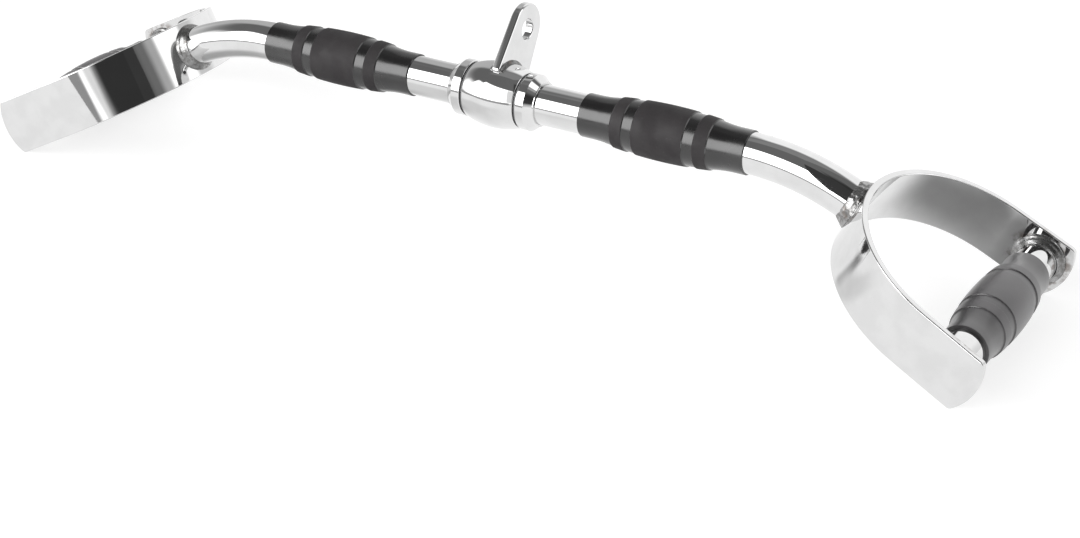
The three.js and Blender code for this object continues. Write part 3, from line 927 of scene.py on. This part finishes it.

# Floor and studio. A panel is a soft patch of light round the object: its centre and half width in azimuth
# (0 is +Y, 90 is +X), lowest and highest elevation and softness of its edges, in degrees, and its brightness;
# a later one lies over the earlier. The floor's dim patches, which only reflections show, are painted shadow
# of the object under and round it: the middle, the half sizes and the softness, in metres, and the brightness
studio = {
    "low": 0.75,
    "high": 0.16,
    "rise": (16, 40),
    "panels": [
        (0, 32, -10, 58, 7, 1.15),
        (315, 14, -10, 55, 6, 0.55),
        (330, 62, 62, 95, 6, 0.27),
        (71, 17, -10, 56, 4, 1.7),
        (96, 6, -10, 50, 4, 0.5),
        (109, 9, -10, 66, 4, 0.19),
        (137, 23, 4, 74, 6, 0.04),
        (243, 17, 3, 29, 6, 1.7),
        (228, 14, 2, 39, 4, 4.2),
        (196, 32, 2, 45.5, 2.5, 4.2),
        (169, 8, 2, 45.5, 2.5, 0.95),
        (214, 40, -9, 0.5, 1.5, 0.42),
        (178, 6, -8, 1.5, 1.5, 0.36),
    ],
    "floorSize": 2,
    "floorColour": grey(0.4),
    "floorGlow": 0.75,
    # dim patches of the floor that only reflections show: painted shadow of the object under and round it
    "paintedShadows": [
        (0.335, 0.025, 0.026, 0.05, 0.022, 0.1),
        (-0.25, -0.02, 0.15, 0.042, 0.028, 0.18),
        (-0.14, -0.12, 0.11, 0.10, 0.06, 0.52),
    ],
    "card": {"left": 0.214, "right": 0.55, "y": -0.4, "bottom": 0.18, "top": 1.1, "glow": 0.05},
}


def makeWorld():
    world = bpy.data.worlds.new("studio")
    world.use_nodes = True
    tree = world.node_tree
    direction = placeOf(tree, "Generated")
    height = addNode(tree, "SeparateXYZ", {}, {0: direction}).outputs["Z"]
    degrees = 180 / math.pi
    elevation = Wire(tree, height).math("ARCSINE", Wire(tree, height)) * degrees
    level = rangeOf(tree, elevation, *studio["rise"], studio["low"], studio["high"])
    for centre, half, low, high, soft, bright in studio["panels"]:
        turned = addNode(tree, "VectorRotate", {"rotation_type": "Z_AXIS"},
                         {"Vector": direction, "Angle": math.radians(centre)})
        flat = addNode(tree, "SeparateXYZ", {}, {0: Wire(tree, turned.outputs[0])})
        away = elevation.math("ARCTAN2", Wire(tree, flat.outputs["X"]), Wire(tree, flat.outputs["Y"]))
        off = away.math("ABSOLUTE", away) * degrees
        mask = rangeOf(tree, off, half - soft, half + soft, 1, 0)
        mask = mask * rangeOf(tree, elevation, low - soft, low + soft, 0, 1)
        mask = mask * rangeOf(tree, elevation, high - soft, high + soft, 1, 0)
        level = level + mask * (bright - level)
    back = tree.nodes["Background"]
    seen = Wire(tree, addNode(tree, "LightPath", {}, {}).outputs["Is Camera Ray"])
    tree.links.new((level + seen * (1 - level)).socket, back.inputs["Strength"])
    back.inputs["Color"].default_value = (1, 1, 1, 1)
    bpy.context.scene.world = world


def makeFloor():
    clearSelection()
    bpy.ops.mesh.primitive_plane_add(size=studio["floorSize"])
    floor = bpy.context.object
    floor.name = "floor"
    constants = {"Base Color": studio["floorColour"], "Roughness": 1, "Specular IOR Level": 0}
    material, tree, shader, place = startMaterial("floor", constants)
    path = addNode(tree, "LightPath", {}, {})
    flat = addNode(tree, "SeparateXYZ", {}, {0: place})
    level = studio["floorGlow"]
    # the glow that reflections see is dimmed in patches: painted shadow of the object on the floor
    for x, y, halfX, halfY, soft, bright in studio["paintedShadows"]:
        mask = 1
        for axis, middle, half in (("X", x, halfX), ("Y", y, halfY)):
            off = Wire(tree, flat.outputs[axis]) - middle
            mask = rangeOf(tree, off.math("ABSOLUTE", off), half - soft, half + soft, 1, 0) * mask
        level = level + mask * (bright - level)
    seen = Wire(tree, path.outputs["Is Camera Ray"]) * studio["floorGlow"]
    seen = seen + Wire(tree, path.outputs["Is Glossy Ray"]) * level
    glow = addNode(tree, "Emission", {}, {"Color": grey(1), "Strength": seen})
    both = addNode(tree, "AddShader", {}, {})
    tree.links.new(shader.outputs[0], both.inputs[0])
    tree.links.new(glow.outputs[0], both.inputs[1])
    tree.links.new(both.outputs[0], tree.nodes["Material Output"].inputs["Surface"])
    floor.data.materials.append(material)


def makeCard():
    # a dark card in front of the right bend, which only reflections show
    look = studio["card"]
    wide, high = look["right"] - look["left"], look["top"] - look["bottom"]
    clearSelection()
    middle = (look["left"] + wide / 2, look["y"], look["bottom"] + high / 2)
    bpy.ops.mesh.primitive_plane_add(size=1, location=middle, rotation=(math.pi / 2, 0, 0))
    card = bpy.context.object
    card.name = "card"
    bpy.ops.transform.resize(value=(wide, 1, high))
    for kind in ("camera", "diffuse", "shadow", "transmission"):
        setattr(card, "visible_" + kind, False)
    material = bpy.data.materials.new("card")
    material.use_nodes = True
    tree = material.node_tree
    glow = addNode(tree, "Emission", {}, {"Strength": look["glow"]})
    tree.links.new(glow.outputs[0], tree.nodes["Material Output"].inputs["Surface"])
    card.data.materials.append(material)


makeFloor()
makeCard()
makeWorld()
bpy.context.scene.view_settings.view_transform = "Standard"
print("studio made")
